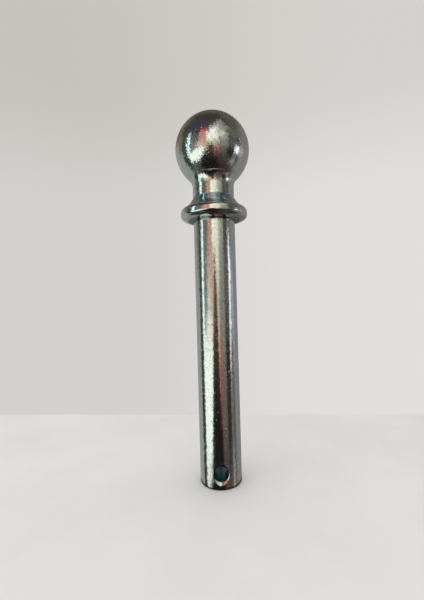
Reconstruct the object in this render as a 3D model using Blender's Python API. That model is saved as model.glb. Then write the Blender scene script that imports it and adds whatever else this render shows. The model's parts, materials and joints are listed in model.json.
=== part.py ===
"""Drop-in ball hitch pin: a 50 mm towing ball on a plain 28 mm pin.

Three turned steel pieces on one vertical axis:
  ball_head  the ball with its neck, bored from below
  collar     the load flange with its flared hub, bored right through
  shank      the round bar, with a reduced spigot that carries the other two,
             and a countersunk cross hole near its lower end for a retaining clip

Metres, +Z up. The origin is the centre of the shank's bottom face and the axis
of everything is world Z. The cross hole runs along Y.
"""

import math

import bpy

# ---------------------------------------------------------------- driving dimensions
BALL_DIAMETER = 0.0500
NECK_DIAMETER = 0.0280
SHANK_DIAMETER = 0.0280
COLLAR_DIAMETER = 0.0450

SHANK_LENGTH = 0.1765          # bottom face to the collar's seat, its flat underside
SEAT_TO_BALL_CENTRE = 0.0475
NECK_FILLET = 0.0090           # concave radius between ball and neck

HUB_HEIGHT = 0.0151            # seat to the middle of the gap between hub and neck
HUB_START_ANGLE = 0.53         # radians from vertical where the flare leaves the hub's top
HUB_END_ANGLE = 1.08           # radians from vertical where the flare meets the rim
HUB_HANDLE = 0.36              # length of the flare curve's handles, as a share of its chord
SHOULDER_HEIGHT = 0.0079       # seat to the crest of the circle that rounds the rim's top
SHOULDER_RADIUS = 0.0031
LOWER_EDGE_RADIAL = 0.0050     # elliptical rounding under the rim
LOWER_EDGE_AXIAL = 0.0030
REGISTER_DEPTH = 0.0010        # recess in the seat that takes the shank's shoulder

END_CHAMFER = 0.0008
CROSS_HOLE_DIAMETER = 0.0100
CROSS_HOLE_HEIGHT = 0.0100     # above the bottom face
COUNTERSINK_DEPTH = 0.0011     # at the bar's crown
COUNTERSINK_ANGLE = math.radians(118)  # included, the angle of a twist drill's point
TOOL_OVERRUN = 0.0030          # how far the cutting tool stands out beyond the bar

SPIGOT_DIAMETER = 0.0180
SPIGOT_CHAMFER = 0.0012
BORE_CHAMFER = 0.0006
BORE_BELOW_CENTRE = 0.0020     # the full bore stops this far below the ball's centre
DRILL_POINT_SLOPE = math.radians(31)  # of the cone a twist drill leaves
SPIGOT_END_CLEARANCE = 0.0010

FIT_GAP = 0.0003               # between fitted pieces

# ---------------------------------------------------------------- segment counts
TURN_STEPS = 48                # facets round the axis of each piece
TOOL_STEPS = 40                # facets round the cross hole
BALL_SEGMENTS = 25
FILLET_SEGMENTS = 6
FLARE_SEGMENTS = 9
SHOULDER_SEGMENTS = 5
LOWER_EDGE_SEGMENTS = 7

# ---------------------------------------------------------------- derived positions
BALL_RADIUS = BALL_DIAMETER / 2
NECK_RADIUS = NECK_DIAMETER / 2
SHANK_RADIUS = SHANK_DIAMETER / 2
COLLAR_RADIUS = COLLAR_DIAMETER / 2
SPIGOT_RADIUS = SPIGOT_DIAMETER / 2
CROSS_HOLE_RADIUS = CROSS_HOLE_DIAMETER / 2
BORE_RADIUS = SPIGOT_RADIUS + FIT_GAP
BORE_MOUTH_RADIUS = BORE_RADIUS + BORE_CHAMFER
REGISTER_RADIUS = SHANK_RADIUS + FIT_GAP

Z_SEAT = SHANK_LENGTH
Z_REGISTER = Z_SEAT + REGISTER_DEPTH
Z_SHANK_SHOULDER = Z_REGISTER - FIT_GAP
Z_BALL = Z_SEAT + SEAT_TO_BALL_CENTRE
Z_HUB_TOP = Z_SEAT + HUB_HEIGHT - FIT_GAP / 2
Z_NECK_END = Z_SEAT + HUB_HEIGHT + FIT_GAP / 2
Z_BORE_END = Z_BALL - BORE_BELOW_CENTRE
Z_SPIGOT_END = Z_BORE_END - SPIGOT_END_CLEARANCE
Z_RING_ABOVE_HOLE = CROSS_HOLE_HEIGHT + 2 * CROSS_HOLE_DIAMETER

# ---------------------------------------------------------------- finish
ZINC_COLOUR = (0.60, 0.60, 0.57, 1.0)


def zinc_material(name, roughness):
    material = bpy.data.materials.new(name)
    material.use_nodes = True
    shader = material.node_tree.nodes["Principled BSDF"]
    shader.inputs["Base Color"].default_value = ZINC_COLOUR
    shader.inputs["Metallic"].default_value = 1.0
    shader.inputs["Roughness"].default_value = roughness
    material.diffuse_color = ZINC_COLOUR
    return material


# ---------------------------------------------------------------- curves
# Every profile point is (radius, height).
def ellipse_arc(centre, radii, start, end, segments):
    """Points from angle start to angle end, both ends included."""
    angles = [start + (end - start) * i / segments for i in range(segments + 1)]
    return [
        (centre[0] + radii[0] * math.cos(a), centre[1] + radii[1] * math.sin(a))
        for a in angles
    ]


def circle_arc(centre, radius, start, end, segments):
    return ellipse_arc(centre, (radius, radius), start, end, segments)


def cubic_curve(controls, segments):
    """Points on the Bezier curve of four control points, both ends included."""
    points = []
    for i in range(segments + 1):
        t = i / segments
        weights = ((1 - t) ** 3, 3 * (1 - t) ** 2 * t, 3 * (1 - t) * t * t, t**3)
        points.append(
            tuple(sum(w * p[k] for w, p in zip(weights, controls)) for k in (0, 1))
        )
    return points


def moved(point, distance, angle):
    """A point moved downwards and outwards, at an angle from vertical."""
    return (
        point[0] + distance * math.sin(angle),
        point[1] - distance * math.cos(angle),
    )


def without_repeats(points):
    """Drops the second of two equal points where one curve takes over from another."""
    kept = points[:1]
    for point in points[1:]:
        if math.dist(point, kept[-1]) > 1e-7:
            kept.append(point)
    return kept


# ---------------------------------------------------------------- turning
def turned(name, profile, parent, material=None, closed=False, steps=TURN_STEPS):
    """A piece of revolution about local Z. The profile runs down the outer side;
    one that isn't closed starts and ends on the axis."""
    points = without_repeats(profile)
    edges = [(i, i + 1) for i in range(len(points) - 1)]
    if closed:
        edges.append((len(points) - 1, 0))
    mesh = bpy.data.meshes.new(name)
    mesh.from_pydata([(radius, 0.0, z) for radius, z in points], edges, [])
    if material:
        mesh.materials.append(material)

    piece = bpy.data.objects.new(name, mesh)
    bpy.context.scene.collection.objects.link(piece)
    piece.parent = parent

    screw = piece.modifiers.new("turn", "SCREW")
    screw.axis = "Z"
    screw.angle = 2 * math.pi
    screw.screw_offset = 0.0
    screw.steps = steps
    screw.render_steps = steps
    screw.use_merge_vertices = True
    screw.merge_threshold = 1e-5
    screw.use_smooth_shade = True
    return piece


# ---------------------------------------------------------------- ball head
def ball_head_profile():
    # the fillet circle touches the ball from outside and the neck from the side
    fillet_r = NECK_RADIUS + NECK_FILLET
    fillet_drop = math.sqrt((BALL_RADIUS + NECK_FILLET) ** 2 - fillet_r**2)
    meet = math.atan2(-fillet_drop, fillet_r)
    ball = circle_arc((0, Z_BALL), BALL_RADIUS, math.pi / 2, meet, BALL_SEGMENTS)
    fillet = circle_arc(
        (fillet_r, Z_BALL - fillet_drop), NECK_FILLET, math.pi + meet, math.pi, FILLET_SEGMENTS
    )
    return [
        (0.0, Z_BALL + BALL_RADIUS),  # the pole, exactly on the axis
        *ball[1:],
        *fillet,
        (NECK_RADIUS, Z_NECK_END),
        (BORE_MOUTH_RADIUS, Z_NECK_END),
        (BORE_RADIUS, Z_NECK_END + BORE_CHAMFER),
        (BORE_RADIUS, Z_BORE_END),
        (0.0, Z_BORE_END + BORE_RADIUS * math.tan(DRILL_POINT_SLOPE)),
    ]


def build_ball_head(pin):
    turned("ball_head", ball_head_profile(), pin, zinc_material("ball_zinc", roughness=0.12))


# ---------------------------------------------------------------- collar
def collar_profile():
    shoulder_centre = (
        COLLAR_RADIUS - SHOULDER_RADIUS,
        Z_SEAT + SHOULDER_HEIGHT - SHOULDER_RADIUS,
    )
    shoulder = circle_arc(
        shoulder_centre, SHOULDER_RADIUS, HUB_END_ANGLE, 0.0, SHOULDER_SEGMENTS
    )

    # the flare runs from the hub's top edge and joins the shoulder without a kink
    flare_top, flare_end = (NECK_RADIUS, Z_HUB_TOP), shoulder[0]
    handle = HUB_HANDLE * math.dist(flare_top, flare_end)
    flare_controls = (
        flare_top,
        moved(flare_top, handle, HUB_START_ANGLE),
        moved(flare_end, -handle, HUB_END_ANGLE),
        flare_end,
    )

    lower_edge = ellipse_arc(
        (COLLAR_RADIUS - LOWER_EDGE_RADIAL, Z_SEAT + LOWER_EDGE_AXIAL),
        (LOWER_EDGE_RADIAL, LOWER_EDGE_AXIAL),
        0.0,
        -math.pi / 2,
        LOWER_EDGE_SEGMENTS,
    )
    return [
        *cubic_curve(flare_controls, FLARE_SEGMENTS),
        *shoulder,
        *lower_edge,
        (REGISTER_RADIUS, Z_SEAT),
        (REGISTER_RADIUS, Z_REGISTER),
        (BORE_MOUTH_RADIUS, Z_REGISTER),
        (BORE_RADIUS, Z_REGISTER + BORE_CHAMFER),
        (BORE_RADIUS, Z_HUB_TOP - BORE_CHAMFER),
        (BORE_MOUTH_RADIUS, Z_HUB_TOP),
    ]


def build_collar(pin):
    material = zinc_material("collar_zinc", roughness=0.16)
    turned("collar", collar_profile(), pin, material, closed=True)


# ---------------------------------------------------------------- shank
def shank_profile():
    return [
        (0.0, Z_SPIGOT_END),
        (SPIGOT_RADIUS - SPIGOT_CHAMFER, Z_SPIGOT_END),
        (SPIGOT_RADIUS, Z_SPIGOT_END - SPIGOT_CHAMFER),
        (SPIGOT_RADIUS, Z_SHANK_SHOULDER),
        (SHANK_RADIUS, Z_SHANK_SHOULDER),
        (SHANK_RADIUS, Z_RING_ABOVE_HOLE),
        (SHANK_RADIUS, END_CHAMFER),
        (SHANK_RADIUS - END_CHAMFER, 0.0),
        (0.0, 0.0),
    ]


def cross_hole_profile():
    """Drill and both countersinks in one tool, longer than the bar is thick."""
    tool_end = SHANK_RADIUS + TOOL_OVERRUN
    cone_start = SHANK_RADIUS - COUNTERSINK_DEPTH
    cone_length = COUNTERSINK_DEPTH + TOOL_OVERRUN
    end_radius = CROSS_HOLE_RADIUS + cone_length * math.tan(COUNTERSINK_ANGLE / 2)
    return [
        (0.0, tool_end),
        (end_radius, tool_end),
        (CROSS_HOLE_RADIUS, cone_start),
        (CROSS_HOLE_RADIUS, -cone_start),
        (end_radius, -tool_end),
        (0.0, -tool_end),
    ]


def build_shank(pin):
    shank = turned("shank", shank_profile(), pin, zinc_material("shank_zinc", roughness=0.20))

    tool = turned("cross_hole_tool", cross_hole_profile(), pin, steps=TOOL_STEPS)
    tool.rotation_euler = (math.pi / 2, 0.0, 0.0)  # lays the tool's axis along Y
    tool.location = (0.0, 0.0, CROSS_HOLE_HEIGHT)
    tool.display_type = "WIRE"
    tool.hide_render = True

    cut = shank.modifiers.new("cross_hole", "BOOLEAN")
    cut.operation = "DIFFERENCE"
    cut.solver = "EXACT"
    cut.object = tool


# ---------------------------------------------------------------- build
def clear_scene():
    for item in list(bpy.data.objects):
        bpy.data.objects.remove(item, do_unlink=True)


def main():
    clear_scene()
    pin = bpy.data.objects.new("hitch_ball_pin", None)
    bpy.context.scene.collection.objects.link(pin)
    build_ball_head(pin)
    build_collar(pin)
    build_shank(pin)


main()
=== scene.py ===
"""Looks for the drop-in ball hitch pin: a 50 mm towing ball on a plain 28 mm pin.

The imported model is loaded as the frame. Each of its three turned pieces is rebuilt here at full
smoothness, with its edge radii, tool marks and joint lines, in the place the frame gives it.
Metres, +Z up. The pin's axis is world Z, its foot is at z = 0 and the cross hole runs along Y.
The camera looks along +Y, with +X on its right.
"""

import json
import math

import bmesh
import bpy
import numpy as np
from mathutils import Matrix, Vector


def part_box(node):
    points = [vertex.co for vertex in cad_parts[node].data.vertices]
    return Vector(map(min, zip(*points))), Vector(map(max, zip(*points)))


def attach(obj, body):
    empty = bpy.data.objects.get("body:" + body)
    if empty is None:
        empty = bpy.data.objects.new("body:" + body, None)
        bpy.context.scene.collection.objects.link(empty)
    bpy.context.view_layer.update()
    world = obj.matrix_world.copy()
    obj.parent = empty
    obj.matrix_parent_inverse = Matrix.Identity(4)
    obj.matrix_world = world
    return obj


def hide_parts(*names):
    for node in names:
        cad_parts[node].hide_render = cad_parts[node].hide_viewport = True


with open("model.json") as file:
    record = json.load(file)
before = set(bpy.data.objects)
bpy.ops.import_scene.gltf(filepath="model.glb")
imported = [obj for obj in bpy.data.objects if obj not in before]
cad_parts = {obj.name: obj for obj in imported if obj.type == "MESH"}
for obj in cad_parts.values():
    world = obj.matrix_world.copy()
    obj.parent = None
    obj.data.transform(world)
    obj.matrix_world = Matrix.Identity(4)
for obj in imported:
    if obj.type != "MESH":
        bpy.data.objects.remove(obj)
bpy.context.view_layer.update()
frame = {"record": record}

# ---------------------------------------------------------------- places, from the frame
shank_low, shank_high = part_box("shank")
collar_low, collar_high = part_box("collar")
ball_low, ball_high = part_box("ball_head")
opening = frame["record"]["physics"]["openings"][0]["box_m"]

R_BALL = 0.0250
Z_BALL = ball_high.z - R_BALL
R_NECK = 0.0140
R_SHANK = (shank_high.x - shank_low.x) / 2
R_COLLAR = (collar_high.x - collar_low.x) / 2
Z_SEAT = collar_low.z
Z_SPIGOT = shank_high.z
Z_JOINT = (collar_high.z + ball_low.z) / 2  # the line between neck and hub
Z_HOLE = (opening[0][2] + opening[1][2]) / 2

# ---------------------------------------------------------------- sizes
JOINT_GAP = 0.00002  # each side of the joint line
FILLET = 0.0090  # between ball and neck
R_LAND, LAND = 0.01700, 0.00013  # the land under the ball: radius and height
R_SPIGOT = 0.0090
R_BORE = 0.00905
BORE_CHAMFER = 0.0006
BORE_SPARE = 0.0010  # straight bore left above the spigot
BORE_TIP = math.radians(31)  # rise of the bore's conical end
REGISTER = 0.0010  # depth of the collar's recess for the shank's shoulder
REGISTER_GAP = 0.00004
SPIGOT_CHAMFER = 0.0012
FOOT_CHAMFER = 0.0008
FINE_EDGE = 0.0001

R_HOLE = 0.0050
COUNTERSINK = 0.0011
SINK_SLOPE = math.tan(math.radians(59))  # 118 degrees included
SINK_NORMAL_Y = 0.857  # the countersink's normal, along the hole
TOOL_OVERSHOOT = 0.003

STEPS = 240  # round each turned piece
HOLE_STEPS = 160
SHARP_ANGLE = math.radians(24)
SAME_POINT = 2e-7
ON_AXIS = 1e-9


# ---------------------------------------------------------------- mesh helpers
def add_object(name, data):
    thing = bpy.data.objects.new(name, data)
    bpy.context.scene.collection.objects.link(thing)
    return thing


def mesh_object(name, bm):
    mesh = bpy.data.meshes.new(name)
    bm.to_mesh(mesh)
    bm.free()
    return add_object(name, mesh)


def smooth(mesh, angle=SHARP_ANGLE):
    mesh.shade_smooth()
    mesh.set_sharp_from_angle(angle=angle)


def arc(centre, radii, start, end, count):
    """Points on an ellipse, from angle start to end."""
    points = []
    for i in range(count + 1):
        angle = start + (end - start) * i / count
        points.append(
            (centre[0] + radii[0] * math.cos(angle), centre[1] + radii[1] * math.sin(angle))
        )
    return points


def bezier(controls, count):
    points = []
    for i in range(count + 1):
        t = i / count
        weights = ((1 - t) ** 3, 3 * (1 - t) ** 2 * t, 3 * (1 - t) * t * t, t**3)
        points.append(tuple(sum(w * p[k] for w, p in zip(weights, controls)) for k in (0, 1)))
    return points


def rounded(corners, count=5):
    """The polyline through corners of (radius, height), where a third value is the radius of
    a small arc that replaces the corner."""
    points = []
    for i, corner in enumerate(corners):
        if len(corner) == 2:
            points.append(corner)
            continue
        before = Vector(corners[i - 1][:2])
        after = Vector(corners[(i + 1) % len(corners)][:2])
        here = Vector(corner[:2])
        back, ahead = (before - here).normalized(), (after - here).normalized()
        half = back.angle(ahead) / 2
        reach = min(
            corner[2] / math.tan(half),
            0.45 * (before - here).length,
            0.45 * (after - here).length,
        )
        radius = reach * math.tan(half)
        centre = here + (back + ahead).normalized() * (radius / math.sin(half))
        first, last = here + back * reach - centre, here + ahead * reach - centre
        turn = math.atan2(first.x * last.y - first.y * last.x, first.dot(last))
        start = math.atan2(first.y, first.x)
        for k in range(count + 1):
            angle = start + turn * k / count
            points.append(
                (centre.x + radius * math.cos(angle), centre.y + radius * math.sin(angle))
            )
    return points


def along(start, end, count):
    """Points between start and end, with both ends left out."""
    return [
        (
            start[0] + (end[0] - start[0]) * i / count,
            start[1] + (end[1] - start[1]) * i / count,
        )
        for i in range(1, count)
    ]


def ring(bm, radius, height, steps):
    """One turn of vertices, or a single one on the axis."""
    if radius < ON_AXIS:
        return [bm.verts.new((0.0, 0.0, height))]
    angles = [2 * math.pi * k / steps for k in range(steps)]
    return [bm.verts.new((radius * math.cos(a), radius * math.sin(a), height)) for a in angles]


def lathe(name, profile, closed=False, steps=STEPS):
    """A piece of revolution. profile runs down the outer side and holds (radius, height); an
    open one starts and ends on the axis."""
    points = []
    for point in profile:
        if not points or math.dist(point, points[-1]) > SAME_POINT:
            points.append(point)
    if closed and math.dist(points[0], points[-1]) < SAME_POINT:
        points.pop()
    bm = bmesh.new()
    rings = [ring(bm, radius, height, steps) for radius, height in points]
    for i in range(len(rings) if closed else len(rings) - 1):
        upper, lower = rings[i], rings[(i + 1) % len(rings)]
        for k in range(steps):
            n = (k + 1) % steps
            if len(upper) == 1:
                bm.faces.new((upper[0], lower[k], lower[n]))
            elif len(lower) == 1:
                bm.faces.new((upper[k], lower[0], upper[n]))
            else:
                bm.faces.new((upper[k], lower[k], lower[n], upper[n]))
    bm.normal_update()
    turned = mesh_object(name, bm)
    smooth(turned.data)
    return turned


# ---------------------------------------------------------------- ball head
def ball_head():
    """Ball, a hairline land where the ball's cut met the neck's form tool, neck fillet, neck, and
    the blind bore that takes the spigot."""
    # heights here are from the ball's centre
    fillet_r = R_NECK + FILLET
    fillet_z = -math.sqrt((R_BALL + FILLET) ** 2 - fillet_r**2)
    land_z = -math.sqrt(R_BALL**2 - R_LAND**2)
    foot_z = land_z - LAND
    foot_r = fillet_r - math.sqrt(FILLET**2 - (foot_z - fillet_z) ** 2)

    land_angle = math.atan2(land_z, R_LAND)
    points = arc((0, Z_BALL), (R_BALL, R_BALL), math.pi / 2, land_angle, 130)
    points[0] = (0.0, Z_BALL + R_BALL)
    points.append((R_LAND, Z_BALL + foot_z))
    start = math.atan2(foot_z - fillet_z, foot_r - fillet_r) % (2 * math.pi)
    points += arc((fillet_r, Z_BALL + fillet_z), (FILLET, FILLET), start, math.pi, 36)
    neck_top, neck_end = (R_NECK, Z_BALL + fillet_z), (R_NECK, Z_JOINT + JOINT_GAP)
    points += along(neck_top, neck_end, 12)
    bore_end = Z_SPIGOT + BORE_SPARE
    lower = [
        neck_top,
        (*neck_end, 0.00014),
        (R_BORE + BORE_CHAMFER, Z_JOINT + JOINT_GAP, FINE_EDGE),
        (R_BORE, Z_JOINT + JOINT_GAP + BORE_CHAMFER, FINE_EDGE),
        (R_BORE, bore_end),
        (0.0, bore_end + R_BORE * math.tan(BORE_TIP)),
    ]
    points += rounded(lower)[1:]
    return lathe("ball_head_turned", points)


# ---------------------------------------------------------------- collar
RIM_RADIUS = 0.0031  # upper rounding of the rim
RIM_TOP = 0.0079  # top of the rim's full circle, above the seat
RIM_ANGLE = 1.08  # where the flare meets the rim, radians
FLARE_ANGLE = 0.53  # the flare's lean off the axis at the joint, radians
FLARE_PULL = 0.36  # length of the flare's handles, as a share of its chord
UNDER_R, UNDER_Z = 0.0050, 0.0030  # elliptical rounding under the rim


def collar():
    """Flared hub, rounded rim, the heavier rounding under it, the flat seat with its register for
    the shank's shoulder, and the through bore."""
    top = (R_NECK, Z_JOINT - JOINT_GAP)
    rim_r, rim_z = R_COLLAR - RIM_RADIUS, Z_SEAT + RIM_TOP - RIM_RADIUS
    rim = (rim_r + RIM_RADIUS * math.cos(RIM_ANGLE), rim_z + RIM_RADIUS * math.sin(RIM_ANGLE))
    pull = FLARE_PULL * math.dist(top, rim)
    top_handle = (
        top[0] + pull * math.sin(FLARE_ANGLE),
        top[1] - pull * math.cos(FLARE_ANGLE),
    )
    rim_handle = (rim[0] - pull * math.sin(RIM_ANGLE), rim[1] + pull * math.cos(RIM_ANGLE))
    flare = bezier((top, top_handle, rim_handle, rim), 44)
    points = flare[1:]
    points += arc((rim_r, rim_z), (RIM_RADIUS, RIM_RADIUS), RIM_ANGLE, 0.0, 22)[1:]
    under_centre = (R_COLLAR - UNDER_R, Z_SEAT + UNDER_Z)
    points += arc(under_centre, (UNDER_R, UNDER_Z), 0.0, -math.pi / 2, 28)
    register_r = R_SHANK + REGISTER_GAP
    inner = [
        points[-1],
        (register_r, Z_SEAT, 0.00012),
        (register_r, Z_SEAT + REGISTER),
        (R_BORE + BORE_CHAMFER, Z_SEAT + REGISTER),
        (R_BORE, Z_SEAT + REGISTER + BORE_CHAMFER, FINE_EDGE),
        (R_BORE, top[1] - BORE_CHAMFER, FINE_EDGE),
        (R_BORE + BORE_CHAMFER, top[1]),
        (*top, FINE_EDGE),
        flare[1],
    ]
    points += rounded(inner)[1:-1]
    return lathe("collar_turned", points, closed=True)


# ---------------------------------------------------------------- shank
def shank_bar():
    shoulder = Z_SEAT + REGISTER - REGISTER_GAP
    corners = [
        (0.0, Z_SPIGOT),
        (R_SPIGOT - SPIGOT_CHAMFER, Z_SPIGOT, 0.0002),
        (R_SPIGOT, Z_SPIGOT - SPIGOT_CHAMFER, 0.0002),
        (R_SPIGOT, shoulder),
        (R_SHANK, shoulder, 0.0002),
        (R_SHANK, FOOT_CHAMFER, 0.00055),
        (R_SHANK - FOOT_CHAMFER, 0.0, 0.00025),
        (0.0, 0.0),
    ]
    return lathe("shank_bar", rounded(corners, 7))


def cross_hole_tool():
    """The hole and both its countersinks as one solid, laid along Y."""
    beyond = R_SHANK + TOOL_OVERSHOOT
    wide = R_HOLE + (COUNTERSINK + beyond - R_SHANK) * SINK_SLOPE
    profile = [
        (0.0, beyond),
        (wide, beyond),
        (R_HOLE, R_SHANK - COUNTERSINK),
        (R_HOLE, -(R_SHANK - COUNTERSINK)),
        (wide, -beyond),
        (0.0, -beyond),
    ]
    tool = lathe("cross_hole_tool", profile, steps=HOLE_STEPS)
    tool.data.transform(Matrix.Rotation(math.pi / 2, 4, "X"))
    tool.data.transform(Matrix.Translation((0.0, 0.0, Z_HOLE)))
    return tool


def surface_kind(normal, centre):
    """Which true surface a face of the shank lies on, if any."""
    from_axis = math.hypot(centre.x, centre.y)
    from_hole = math.hypot(centre.x, centre.z - Z_HOLE)
    if from_hole < R_HOLE * 1.02 and from_axis < R_SHANK - 1e-5 and abs(normal.y) < 0.05:
        return "bore"
    if (
        from_hole < R_HOLE + COUNTERSINK * 2.4
        and abs(abs(normal.y) - SINK_NORMAL_Y) < 0.03
        and normal.y * centre.y > 0
    ):
        return "sink"
    if from_axis > R_SHANK * 0.999 and abs(normal.z) < 0.01 and centre.z < 0.03:
        return "bar"
    return None


def set_true_normals(mesh):
    """Each corner's normal is the true surface's: cylinder, bore or countersink. Elsewhere it
    is the profile's own."""
    normals = np.empty(len(mesh.loops) * 3, np.float32)
    mesh.corner_normals.foreach_get("vector", normals)
    normals = normals.reshape(-1, 3)
    for face in mesh.polygons:
        kind = surface_kind(face.normal, face.center)
        if kind is None:
            continue
        for loop in face.loop_indices:
            point = mesh.vertices[mesh.loops[loop].vertex_index].co
            if kind == "bar":
                normal = Vector((point.x, point.y, 0.0))
            else:
                normal = -Vector((point.x, 0.0, point.z - Z_HOLE)).normalized()
                if kind == "sink":
                    normal += Vector((0.0, math.copysign(SINK_SLOPE, face.center.y), 0.0))
            normals[loop] = normal.normalized()
    mesh.normals_split_custom_set(normals.tolist())


def shank():
    """The bar with its spigot, its bottom chamfer and the countersunk cross hole."""
    bar = shank_bar()
    tool = cross_hole_tool()
    cut = bar.modifiers.new("cross_hole", "BOOLEAN")
    cut.operation = "DIFFERENCE"
    cut.solver = "EXACT"
    cut.object = tool
    bpy.context.view_layer.update()
    depsgraph = bpy.context.evaluated_depsgraph_get()
    mesh = bpy.data.meshes.new_from_object(bar.evaluated_get(depsgraph), depsgraph=depsgraph)
    mesh.name = "shank_turned"
    drilled = add_object("shank_turned", mesh)
    bpy.data.objects.remove(bar)
    bpy.data.objects.remove(tool)
    smooth(mesh)
    set_true_normals(mesh)
    return drilled


# ---------------------------------------------------------------- node helpers
class Nodes:
    """Short names for building a node tree. Inputs are sockets or plain values."""

    def __init__(self, tree):
        self.tree = tree

    def put(self, socket, value):
        if isinstance(value, bpy.types.NodeSocket):
            self.tree.links.new(value, socket)
        elif value is not None:
            socket.default_value = value

    def add(self, kind, inputs=(), **properties):
        """A node, with inputs as (socket index or name, value) pairs."""
        node = self.tree.nodes.new(kind)
        for key, value in properties.items():
            setattr(node, key, value)
        for key, value in inputs:
            self.put(node.inputs[key], value)
        return node

    def math(self, operation, *values):
        return self.add("ShaderNodeMath", enumerate(values), operation=operation).outputs[0]

    def plus(self, a, b):
        return self.math("ADD", a, b)

    def times(self, a, b):
        return self.math("MULTIPLY", a, b)

    def over(self, a, b):
        return self.math("DIVIDE", a, b)

    def vector(self, operation, a, b=None):
        second = 3 if operation == "SCALE" else 1
        inputs = ((0, a), (second, b))
        return self.add("ShaderNodeVectorMath", inputs, operation=operation).outputs[0]

    def ramp(self, value, span, to=(0.0, 1.0), smooth=True):
        """Value carried from span on to the range to, and held at its ends."""
        kind = "SMOOTHSTEP" if smooth else "LINEAR"
        node = self.add("ShaderNodeMapRange", interpolation_type=kind, clamp=True)
        for i, setting in enumerate((value, *span, *to)):
            self.put(node.inputs[i], setting)
        return node.outputs[0]

    def mix(self, factor, a, b, blend="MIX"):
        inputs = ((0, factor), (6, a), (7, b))
        node = self.add("ShaderNodeMix", data_type="RGBA", blend_type=blend)
        for i, value in inputs:
            self.put(node.inputs[i], value)
        return node.outputs[2]

    def noise(self, place, scale=1.0, detail=2.0, rough=0.5, distortion=0.0, output="Fac"):
        inputs = (
            ("Vector", place),
            ("Scale", scale),
            ("Detail", detail),
            ("Roughness", rough),
            ("Distortion", distortion),
        )
        return self.add("ShaderNodeTexNoise", inputs).outputs[output]

    def split(self, vector):
        return self.add("ShaderNodeSeparateXYZ", ((0, vector),)).outputs

    def join(self, x, y, z):
        return self.add("ShaderNodeCombineXYZ", enumerate((x, y, z))).outputs[0]

    def place(self, output="Object"):
        return self.add("ShaderNodeTexCoord").outputs[output]


def new_material(name):
    material = bpy.data.materials.new(name)
    material.use_nodes = True
    return material, Nodes(material.node_tree)


def linear(colour):
    """An sRGB colour as linear values, with alpha."""
    return tuple(
        v / 12.92 if v <= 0.04045 else ((v + 0.055) / 1.055) ** 2.4 for v in colour
    ) + (1.0,)


# ---------------------------------------------------------------- zinc plate
# Leans are tilts of the surface in radians: up along the axis (or over the ball from pole to
# neck), and round it.
def lean(nodes, *parts):
    """The sum of (noise, reach) parts, each noise centred on nought and scaled by its reach."""
    total = None
    for noise, reach in parts:
        swing = nodes.times(nodes.math("SUBTRACT", noise, 0.5), reach * 2.0)
        total = swing if total is None else nodes.plus(total, swing)
    return total


def plate_colour(nodes, pos):
    """A faint blue to straw drift, slightly duller clouds and a fine mottle."""
    blue, straw, dull = (0.605, 0.625, 0.640, 1), (0.645, 0.635, 0.620, 1), (0.60, 0.59, 0.58, 1)
    drift = nodes.noise(pos, scale=70.0, detail=3.0, rough=0.55)
    cloud = nodes.noise(pos, scale=160.0, detail=3.0, rough=0.6, distortion=0.6)
    mottle = nodes.noise(pos, scale=900.0, detail=3.0, rough=0.7)
    colour = nodes.mix(nodes.ramp(drift, span=(0.34, 0.66)), blue, straw)
    cloud_share = nodes.times(nodes.ramp(cloud, span=(0.35, 0.70)), 0.25)
    colour = nodes.mix(cloud_share, colour, dull)
    shade = nodes.ramp(mottle, span=(0.30, 0.70), to=(0.86, 1.12), smooth=False)
    return nodes.vector("SCALE", colour, shade)


def spots(nodes, pos):
    """Scattered small round pits: their mask, and random values for each."""
    cells = nodes.add("ShaderNodeTexVoronoi", (("Vector", pos), ("Scale", 1400.0)))
    pick = nodes.split(cells.outputs["Color"])
    disc = nodes.ramp(cells.outputs["Distance"], span=(0.28, 0.46), to=(1.0, 0.0))
    return nodes.times(disc, nodes.ramp(pick[2], span=(0.80, 0.86))), pick


def fine_facets(nodes, pos):
    return nodes.split(nodes.noise(pos, scale=1000.0, rough=0.6, output="Color"))


def ball_finish(nodes, pos, rho, waves, colour):
    """An earlier form, replaced by the definition below; it returns None."""
    x, y, z = nodes.split(pos) if False else pos_parts(pos)
    return None


# Each finish takes the place (pos, x, y, z and rho, the distance from the axis), the slow
# waves and the plate's colour.
def ball_finish(nodes, pos, x, y, z, rho, waves, colour):
    """Polished in passes round the ball: each short patch leans a little up or down."""
    around = nodes.join(nodes.over(x, rho), nodes.over(y, rho), 0.0)
    rise = nodes.join(0.0, 0.0, nodes.times(z, 230.0))
    band = nodes.vector("ADD", nodes.vector("MULTIPLY", around, (34.0, 34.0, 0.0)), rise)
    streak = nodes.noise(band, detail=3.0, rough=0.65)
    facets = fine_facets(nodes, pos)
    return {
        "colour": colour,
        "lean_up": lean(nodes, (streak, 0.16), (facets[0], 0.11), (waves[0], 0.025)),
        "lean_round": lean(nodes, (facets[1], 0.13), (waves[1], 0.020)),
        "spot_lean": 0.35,
        "rough": nodes.ramp(streak, span=(0.35, 0.70), to=(0.10, 0.155)),
        "anisotropy": 0.55,
    }


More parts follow.
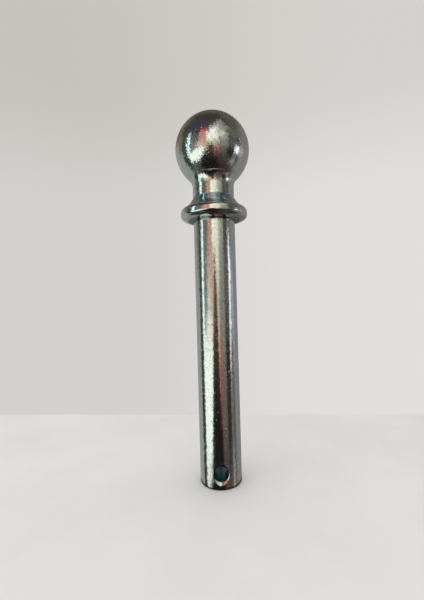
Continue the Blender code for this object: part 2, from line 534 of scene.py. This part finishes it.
def collar_finish(nodes, pos, x, y, z, rho, waves, colour):
    """Fine turning rings, with bluer plate on the flare and painted shade in the corner by the
    shank.
    """
    rings = nodes.noise(nodes.join(0.0, nodes.times(rho, 2600.0), nodes.times(z, 2600.0)), rough=0.6)
    facets = fine_facets(nodes, pos)
    # the plate is tinted bluer on the flare, above the rim
    flare_tint = nodes.ramp(z, span=(Z_SEAT + 0.0072, Z_SEAT + 0.0084))
    colour = nodes.mix(flare_tint, colour, (0.48, 0.62, 0.70, 1))
    # painted shade: the corner between the seat and the shank is darkened
    corner = nodes.times(
        nodes.ramp(rho, span=(R_SHANK + 0.0030, R_SHANK + 0.0042), to=(1.0, 0.0)),
        nodes.ramp(z, span=(Z_SEAT + 0.0004, Z_SEAT + 0.0009), to=(1.0, 0.0)),
    )
    return {
        "colour": nodes.mix(corner, colour, (0.11, 0.145, 0.15, 1)),
        "lean_up": lean(nodes, (rings, 0.025), (facets[0], 0.055), (waves[0], 0.03)),
        "lean_round": lean(nodes, (facets[1], 0.055), (waves[1], 0.03)),
        "spot_lean": 0.18,
        "rough": nodes.ramp(rings, span=(0.3, 0.7), to=(0.10, 0.15)),
        "anisotropy": 0.5,
    }


def shank_finish(nodes, pos, x, y, z, rho, waves, colour):
    """Ground bar: fine rings, a grain of shallow facets, scattered pits."""
    squeezed = nodes.join(nodes.times(x, 40.0), nodes.times(y, 40.0), nodes.times(z, 900.0))
    rings = nodes.noise(squeezed, rough=0.55)
    grain_place = nodes.vector("MULTIPLY", pos, (1000.0, 1000.0, 1200.0))
    grain = nodes.split(nodes.noise(grain_place, rough=0.6, output="Color"))
    # painted shade: the inside of the cross hole is darkened to a deep blue-green, and made rougher
    painted_hole_shade = nodes.times(
        nodes.ramp(rho, span=(R_SHANK - 0.0022, R_SHANK - 0.0014), to=(1.0, 0.0)),
        nodes.ramp(z, span=(0.024, 0.026), to=(1.0, 0.0)),
    )
    painted_hole_shade = nodes.times(painted_hole_shade, nodes.ramp(z, span=(0.0002, 0.0006)))
    rough = nodes.ramp(rings, span=(0.3, 0.7), to=(0.11, 0.17))
    return {
        "colour": nodes.mix(painted_hole_shade, colour, (0.05, 0.15, 0.21, 1)),
        "lean_up": lean(nodes, (rings, 0.035), (grain[0], 0.08), (waves[0], 0.03)),
        "lean_round": lean(nodes, (grain[1], 0.11), (waves[1], 0.016), (rings, 0.03)),
        "spot_lean": 0.40,
        "rough": nodes.plus(rough, nodes.times(painted_hole_shade, 0.18)),
        "anisotropy": 0.7,
    }


def zinc(name, finish):
    """Bright zinc plate on steel. finish sets how the steel under the plate was worked."""
    material, nodes = new_material(name)
    pos = nodes.place()
    x, y, z = nodes.split(pos)
    square = nodes.plus(nodes.times(x, x), nodes.times(y, y))
    rho = nodes.math("MAXIMUM", nodes.math("SQRT", square), 1e-5)
    waves = nodes.split(nodes.noise(pos, scale=150.0, output="Color"))
    look = finish(nodes, pos, x, y, z, rho, waves, plate_colour(nodes, pos))

    spot, pick = spots(nodes, pos)
    leans = [
        nodes.plus(look[key], nodes.times(spot, lean(nodes, (pick[i], look["spot_lean"]))))
        for i, key in enumerate(("lean_up", "lean_round"))
    ]
    face = nodes.add("ShaderNodeNewGeometry").outputs["Normal"]
    minus_y = nodes.times(nodes.over(y, rho), -1.0)
    round_axis = nodes.join(minus_y, nodes.over(x, rho), 0.0)
    up_axis = nodes.vector("CROSS_PRODUCT", face, round_axis)
    normal = face
    for axis, amount in zip((up_axis, round_axis), leans):
        normal = nodes.vector("ADD", normal, nodes.vector("SCALE", axis, amount))

    tangent = nodes.add("ShaderNodeTangent", direction_type="RADIAL", axis="Z")
    bsdf = material.node_tree.nodes["Principled BSDF"]
    for socket, value in (
        ("Anisotropic", look["anisotropy"]),
        ("Anisotropic Rotation", 0.25),
        ("Tangent", tangent.outputs[0]),
        ("Metallic", 1.0),
        ("Base Color", look["colour"]),
        ("Roughness", look["rough"]),
        ("Normal", nodes.vector("NORMALIZE", normal)),
    ):
        nodes.put(bsdf.inputs[socket], value)
    return material


# ---------------------------------------------------------------- the room the metal mirrors
WALL_LEFT = (0.825, 0.815, 0.805)
WALL_RIGHT = (0.880, 0.875, 0.870)
MIRROR = 0.62  # share of light the plate returns head on
# (elevation in degrees, grey) of the room behind the panels
GREYS = [
    (-90, 0.12), (-64, 0.13), (-50, 0.20), (-35, 0.33), (-10, 0.42), (20, 0.42),
    (40, 0.34), (58, 0.27), (70, 0.215), (90, 0.215),
]
# Soft far panels round the object, later ones over earlier. Azimuth is 0 on the camera's side
# and grows to the right. Angles are in degrees; lean is azimuth gained per degree of rise.
PANELS = [
    # name, azimuth, elevation, half width, half height, side feather, end feather, lean, colour
    ("back_left", -140, -5, 36, 34, 6, 10, 0, (0.53, 0.555, 0.53)),
    ("back_left_upper", -138, 38, 34, 12, 8, 10, 0, (0.39, 0.365, 0.33)),
    ("back_right", 138, -2, 38, 33, 7, 12, 0, (0.465, 0.465, 0.46)),
    ("back_right_upper", 130, 34, 26, 10, 8, 10, 0, (0.43, 0.42, 0.39)),
    ("bench_far", -69, -25, 14, 6, 2, 2.5, 0, (0.92, 0.96, 0.91)),
    ("warm_top", 150, 63, 60, 11, 14, 6, 0, (0.33, 0.305, 0.26)),
    ("left_dark_high", -96, 43, 22, 9, 9, 5, 0, (0.215, 0.205, 0.20)),
    ("left_gap", -95, 2, 8, 42, 4, 10, 0.1, (0.22, 0.25, 0.23)),
    ("left_gap_low", -95, -21, 9, 12, 4, 6, 0, (0.15, 0.19, 0.18)),
    ("left_wall", -55, 12, 12, 16, 5, 8, 0, (0.44, 0.44, 0.40)),
    ("left_upper", -60, 38, 24, 8, 6, 5, 0, (0.235, 0.24, 0.245)),
    ("navy_top", -50, 67, 30, 4, 10, 3, 0, (0.23, 0.245, 0.29)),
    ("navy_curtain", -66, 55, 34, 9, 8, 5, 0, (0.20, 0.225, 0.28)),
    ("dark_lintel", -20, 60, 22, 7, 6, 5, 0, (0.25, 0.235, 0.24)),
    ("brown_frame", -27, 44, 15, 7, 5, 4, 0, (0.35, 0.23, 0.21)),
    ("floor_left", -76, -43, 26, 8, 8, 5, 0, (0.31, 0.33, 0.31)),
    ("floor_front", -14, -54, 44, 14, 10, 7, 0, (0.10, 0.10, 0.09)),
    ("right_floor", 38, -30, 24, 9, 8, 6, 0, (0.27, 0.23, 0.22)),
    ("maroon_rug", 34, -52, 30, 12, 10, 6, 0, (0.24, 0.175, 0.19)),
    ("right_wall_low", 33, -15, 15, 8, 5, 6, 0, (0.37, 0.345, 0.315)),
    ("right_wall", 31, 6, 15, 12, 4, 5, 0, (0.48, 0.48, 0.44)),
    ("right_wall_high", 34, 22, 16, 7, 7, 4, 0, (0.55, 0.55, 0.51)),
    ("left_wall_high", -52, 22, 13, 7, 5, 4, 0, (0.36, 0.33, 0.305)),
    ("salmon_curtain", -27, 15, 11, 11, 6, 4, 0, (0.72, 0.55, 0.485)),
    ("pale_curtain", -35, 3, 12, 6, 5, 4, 0, (0.77, 0.69, 0.62)),
    ("bench_side", -20, -15, 9, 8, 4, 5, 0, (0.71, 0.68, 0.59)),
    ("lower_curtain", -21.5, -4, 10, 9, 4, 4, 0, (0.72, 0.64, 0.56)),
    ("rose_cushion", -25, 31, 9, 5.5, 4, 4, 0, (0.85, 0.46, 0.45)),
    ("right_upper", 29, 37, 17, 13, 8, 5, 0, (0.66, 0.655, 0.60)),
    ("window_falloff", 19, 21, 10, 8, 5, 4, 0, (0.68, 0.69, 0.63)),
    ("window_sill", 7, -1, 8.5, 8, 3, 4, 0, (0.68, 0.65, 0.56)),
    ("low_pane", -3, 5, 7, 4, 3, 2.5, 0, (0.79, 0.76, 0.67)),
    ("front_window", 3, 19, 17, 11.5, 4, 3, 0.15, (0.82, 0.845, 0.735)),
    ("window_glow", 1, 22, 13, 7.5, 4, 3, 0.1, (0.88, 0.905, 0.805)),
    ("window_edge", -9, 21, 4.5, 9.5, 2.5, 3.5, 0.3, (0.98, 0.96, 0.87)),
    ("window_head", 0, 31, 12.5, 10, 3.5, 4, 0.55, (0.93, 0.95, 0.90)),
    ("head_glow", 14, 47, 14, 7, 5, 4, 0.6, (0.80, 0.79, 0.76)),
    ("right_glow_high", 45, 45, 14, 6, 6, 5, 0.5, (0.52, 0.51, 0.48)),
    ("ceiling_glow", 33, 59, 20, 10, 6, 5, 0.7, (0.53, 0.53, 0.51)),
    ("straw_shelf", 33, 29, 8, 4, 4, 3, 0.2, (0.82, 0.82, 0.72)),
    ("tan_shade", 20, 31, 3.5, 3.5, 2, 2.5, 0, (0.66, 0.60, 0.50)),
    ("right_gap", 58, -3, 11, 32, 3.5, 8, 0.05, (0.29, 0.285, 0.265)),
    ("right_gap_low", 58, -16, 12, 12, 4, 5, 0, (0.15, 0.145, 0.135)),
    ("right_seam", 89.5, -16, 4.5, 12, 2.5, 5, 0, (0.26, 0.255, 0.24)),
    ("right_gap_mid", 58, 6, 7, 5, 4, 3, 0, (0.37, 0.34, 0.31)),
    ("navy_right", 82, 20, 9, 6.5, 4, 3, 0, (0.22, 0.255, 0.32)),
    ("right_glow", 99, 1, 8, 9, 4, 5, 0, (0.60, 0.595, 0.59)),
    ("strip_foot", 80, -1, 6.5, 3.5, 2, 1.5, 0, (0.93, 0.95, 0.97)),
    ("strip_toe", 76.5, -6, 3, 4, 1.5, 1.5, 0, (0.90, 0.92, 0.93)),
    ("floor_under_left", -88, -68, 22, 9, 8, 5, 0, (0.35, 0.37, 0.335)),
    ("floor_under_right", 118, -70, 34, 9, 10, 5, 0, (0.25, 0.245, 0.225)),
    ("back_floor_right", 167, -22, 15, 12, 6, 6, 0, (0.32, 0.325, 0.33)),
    ("back_floor_left", -172, -24, 9, 9, 5, 5, 0, (0.42, 0.455, 0.43)),
    ("warm_left", -112, 17, 9, 10, 5, 4, 0, (0.42, 0.40, 0.35)),
    ("left_gap_mid", -98, 16, 5, 7, 3, 4, 0, (0.22, 0.235, 0.21)),
    ("right_low_glow", 81, -32, 7, 6, 3, 3, 0, (0.54, 0.52, 0.50)),
    ("side_window", -75.2, 11, 5.2, 20, 1.8, 4, 0.13, (0.90, 1.05, 1.06)),
]


def grey_steps(nodes, elevation):
    steps = nodes.add("ShaderNodeValToRGB")
    nodes.put(steps.inputs[0], nodes.over(nodes.plus(elevation, 90.0), 180.0))
    elements = steps.color_ramp.elements
    while len(elements) < len(GREYS):
        elements.new(0.5)
    for element, (degrees, grey) in zip(elements, GREYS):
        element.position = (degrees + 90) / 180
        element.color = linear((grey, grey * 0.97, grey * 0.90))
    return steps.outputs[0]


def room_colour(nodes, direction, x, y, z):
    """The grey steps with every panel laid over them, their edges made a little uneven."""
    noise = nodes.noise(direction, scale=4.5, detail=3.0, rough=0.6, output="Color")
    wobble = nodes.split(nodes.vector("SUBTRACT", noise, (0.5, 0.5, 0.5)))
    degrees, wobble_size = 180 / math.pi, 5.0
    azimuth = nodes.times(nodes.math("ARCTAN2", x, nodes.times(y, -1.0)), degrees)
    elevation = nodes.times(nodes.math("ARCSINE", z), degrees)
    azimuth = nodes.math("MULTIPLY_ADD", wobble[0], wobble_size, azimuth)
    elevation = nodes.math("MULTIPLY_ADD", wobble[1], wobble_size, elevation)

    def within(distance, half, feather):
        return nodes.ramp(distance, span=(half - feather, half + feather), to=(1.0, 0.0))

    room = grey_steps(nodes, elevation)
    for _, across, up, width, height, side_feather, end_feather, slant, colour in PANELS:
        rise = nodes.math("SUBTRACT", elevation, up)
        side = nodes.math("SUBTRACT", azimuth, across)
        side = nodes.math("MULTIPLY_ADD", rise, -float(slant), side)
        side = nodes.math("ABSOLUTE", nodes.math("WRAP", side, 180.0, -180.0))
        mask = nodes.times(
            within(side, width, side_feather),
            within(nodes.math("ABSOLUTE", rise), height, end_feather),
        )
        room = nodes.mix(mask, room, linear(colour))
    return room


def studio():
    """The metal sees the room, matt surfaces a soft white, and the camera a plain wall."""
    world = bpy.data.worlds.new("studio")
    bpy.context.scene.world = world
    world.use_nodes = True
    world.node_tree.nodes.clear()
    world.cycles.sampling_method = "NONE"
    nodes = Nodes(world.node_tree)
    direction = nodes.place("Generated")
    x, y, z = nodes.split(direction)

    def background(colour, strength=None):
        inputs = (("Color", colour), ("Strength", strength))
        return nodes.add("ShaderNodeBackground", inputs).outputs[0]

    def choose(ray, other, chosen):
        inputs = ((0, path.outputs[ray]), (1, other), (2, chosen))
        return nodes.add("ShaderNodeMixShader", inputs).outputs[0]

    tone = nodes.noise(direction, scale=9.0, detail=4.0, rough=0.6)
    tone = nodes.ramp(tone, span=(0.3, 0.7), to=(0.90, 1.10), smooth=False)
    room = background(room_colour(nodes, direction, x, y, z), nodes.over(tone, MIRROR))
    wall = nodes.mix(nodes.ramp(x, span=(-0.35, 0.35)), linear(WALL_LEFT), linear(WALL_RIGHT))
    # painted shade: the wall darkens a little towards its top
    top = nodes.ramp(z, span=(0.24, 0.54))
    plain = background(nodes.mix(top, wall, (0.88, 0.87, 0.845, 1), blend="MULTIPLY"))
    soft = background((1.0, 0.99, 0.98, 1), strength=0.90)

    path = nodes.add("ShaderNodeLightPath")
    shader = choose("Is Diffuse Ray", room, soft)
    shader = choose("Is Camera Ray", shader, plain)
    nodes.add("ShaderNodeOutputWorld", (("Surface", shader),))


# ---------------------------------------------------------------- near cards
# (x, z) outlines in the plane behind the camera
CARD_Y = -0.30
BLACK_LEFT = [
    (-0.054, 0.200), (-0.066, 0.165), (-0.078, 0.135), (-0.092, 0.105), (-0.110, 0.060),
    (-0.142, 0.010), (-0.195, -0.046), (-0.240, -0.110), (-0.34, -0.25), (-0.5, -0.5),
]
BLACK_RIGHT = [
    (0.30, -0.5), (0.16, -0.25), (0.100, -0.11), (0.062, -0.07), (0.048, -0.03), (0.038, 0.017),
    (0.030, 0.055), (0.018, 0.10), (0.012, 0.146), (0.010, 0.175), (0.006, 0.200),
]
GREY_CAP = [
    (-0.054, 0.200), (0.006, 0.200), (-0.004, 0.222), (-0.030, 0.230), (-0.075, 0.224),
    (-0.090, 0.212),
]
# (azimuth in degrees, z) outlines on cylinders round the pin's axis
WHITE_BENCH = [
    (-84.5, 0.05), (-68, 0.03), (-60, 0.06), (-53, 0.11), (-45, 0.155), (-31, 0.145),
    (-25, 0.07), (-25, -0.08), (-29, -0.20), (-37, -0.32), (-42, -0.46), (-50, -0.53),
    (-60, -0.50), (-74, -0.40), (-81, -0.37), (-81, -0.30), (-80.5, -0.15), (-82, -0.03),
]
RED_STRIP = [
    (10, 0.02), (14, 0.042), (19.5, 0.035), (20, -0.02), (18, -0.10), (18.5, -0.27),
    (12, -0.27), (11, -0.12),
]
LIGHT_STRIP = [(74.5, 0.150), (74, 0.270), (86, 0.264), (87, 0.150)]
FOOT_SHADE_R, FOOT_SHADE_Z = 0.0164, -0.0003
FOOT_SHADE_COLOUR = (0.09, 0.088, 0.082)


def card(name, outline, low, high, heights, grain=0.0):
    """A near panel that only the metal sees. Its colour runs from low to high over heights,
    all as the metal returns them. grain is the share its brightness varies by."""
    bm = bmesh.new()
    bm.faces.new([bm.verts.new(point) for point in outline])
    bmesh.ops.triangulate(bm, faces=list(bm.faces))
    panel = mesh_object(name, bm)
    material, nodes = new_material(name)
    material.node_tree.nodes.clear()
    pos = nodes.place()
    shade = nodes.mix(
        nodes.ramp(nodes.split(pos)[2], span=heights), linear(low), linear(high)
    )
    tone = nodes.noise(pos, scale=25.0, detail=3.0, rough=0.6)
    tone = nodes.ramp(tone, span=(0.3, 0.7), to=(1.0 - grain, 1.0 + grain), smooth=False)
    inputs = (("Color", shade), ("Strength", nodes.over(tone, MIRROR)))
    glow = nodes.add("ShaderNodeEmission", inputs).outputs[0]
    nodes.add("ShaderNodeOutputMaterial", (("Surface", glow),))
    material.cycles.emission_sampling = "NONE"
    panel.data.materials.append(material)
    panel.visible_camera = panel.visible_diffuse = panel.visible_shadow = False
    panel.visible_transmission = panel.visible_volume_scatter = False


def behind_camera(points):
    return [(x, CARD_Y, z) for x, z in points]


def round_the_object(radius, points):
    """(azimuth, height) points as places on a cylinder round the pin's axis."""
    places = []
    for azimuth, z in points:
        angle = math.radians(azimuth)
        places.append((radius * math.sin(angle), -radius * math.cos(angle), z))
    return places


def cards():
    # a peak on a wide foot, with a paler cap
    card("black_card", behind_camera(BLACK_LEFT + BLACK_RIGHT),
         low=(0.09, 0.09, 0.08), high=(0.31, 0.255, 0.21), heights=(-0.07, 0.20), grain=0.15)
    card("grey_cap", behind_camera(GREY_CAP),
         low=(0.40, 0.34, 0.29), high=(0.60, 0.54, 0.47), heights=(0.198, 0.222), grain=0.10)
    # white bench to the left, red strip to the right of the black card
    card("white_bench", round_the_object(1.0, WHITE_BENCH),
         low=(0.94, 0.98, 0.93), high=(0.86, 0.84, 0.79), heights=(-0.06, 0.12), grain=0.05)
    card("red_strip", round_the_object(0.84, RED_STRIP),
         low=(0.45, 0.20, 0.17), high=(0.75, 0.23, 0.185), heights=(-0.22, 0.02), grain=0.12)
    # the shaded foot of the pin, as the lowest part of the bar and its chamfer see it
    angles = [math.radians(7.5 * i) for i in range(48)]
    disc = [
        (FOOT_SHADE_R * math.cos(a), FOOT_SHADE_R * math.sin(a), FOOT_SHADE_Z) for a in angles
    ]
    card("foot_shade", disc, low=FOOT_SHADE_COLOUR, high=FOOT_SHADE_COLOUR, heights=(-0.1, 0.1))
    # tall light strip on the right
    card("light_strip", round_the_object(0.41, LIGHT_STRIP),
         low=(0.92, 0.96, 0.98), high=(1.0, 1.03, 1.05), heights=(0.15, 0.20), grain=0.05)


# ---------------------------------------------------------------- floor, light, camera
def tabletop():
    """A pale slab. Its back edge runs a little askew behind the object."""
    back, front, side = 0.1308, -3.2, 3.0
    top, bottom = -0.00002, -0.030
    skew = Matrix.Rotation(math.radians(-4.71), 3, "Z")
    bm = bmesh.new()
    bmesh.ops.create_cube(bm, size=1.0)
    for vert in bm.verts:
        x, y, z = vert.co
        vert.co = (side if x > 0 else -side, back if y > 0 else front, top if z > 0 else bottom)
    bmesh.ops.bevel(
        bm, geom=list(bm.edges), offset=0.0015, segments=4, affect="EDGES", profile=0.5
    )
    bmesh.ops.rotate(bm, cent=(0, back, 0), matrix=skew, verts=bm.verts)
    slab = mesh_object("tabletop", bm)
    smooth(slab.data, math.radians(35))
    material, nodes = new_material("tabletop")
    tone = nodes.noise(nodes.place(), scale=14.0, detail=4.0, rough=0.6)
    tone = nodes.ramp(tone, span=(0.3, 0.7))
    colour = nodes.mix(tone, (0.80, 0.79, 0.775, 1), (0.84, 0.83, 0.82, 1))
    bsdf = material.node_tree.nodes["Principled BSDF"]
    nodes.put(bsdf.inputs["Base Color"], colour)
    bsdf.inputs["Roughness"].default_value = 0.6
    bsdf.inputs["Specular IOR Level"].default_value = 0.2
    slab.data.materials.append(material)
    slab.visible_glossy = False


def soft_light():
    data = bpy.data.lights.new("softbox", "AREA")
    data.shape = "RECTANGLE"
    data.size, data.size_y = 0.9, 0.7
    data.energy = 1.2
    light = add_object("softbox", data)
    light.location = (-0.5, -0.5, 0.9)
    aim = Vector((0, 0, 0.05)) - light.location
    light.rotation_euler = aim.to_track_quat("-Z", "Y").to_euler()
    light.visible_glossy = False
    light.visible_camera = False


def camera():
    """Level and looking along +Y, with a slight roll."""
    data = bpy.data.cameras.new("camera")
    data.sensor_width = 36.0
    data.lens = 20.05
    data.shift_x = -0.0033
    data.clip_start, data.clip_end = 0.005, 20.0
    viewer = add_object("camera", data)
    roll = math.radians(1.61)
    right = (math.cos(roll), 0, -math.sin(roll))
    up = (math.sin(roll), 0, math.cos(roll))
    matrix = Matrix.Identity(4)
    for i, column in enumerate((right, up, (0, -1, 0), (-0.00163, -0.22830, 0.12263))):
        matrix.col[i][:3] = column
    viewer.matrix_world = matrix
    bpy.context.scene.camera = viewer


# ---------------------------------------------------------------- build
for piece, node, kind, finish in (
    (ball_head(), "ball_head", "ball", ball_finish),
    (collar(), "collar", "collar", collar_finish),
    (shank(), "shank", "shank", shank_finish),
):
    piece.data.materials.clear()
    piece.data.materials.append(zinc("zinc_" + kind, finish))
    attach(piece, "root")
    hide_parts(node)

studio()
cards()
tabletop()
soft_light()
camera()
bpy.context.scene.view_settings.view_transform = "Standard"
bpy.context.scene.view_settings.look = "None"
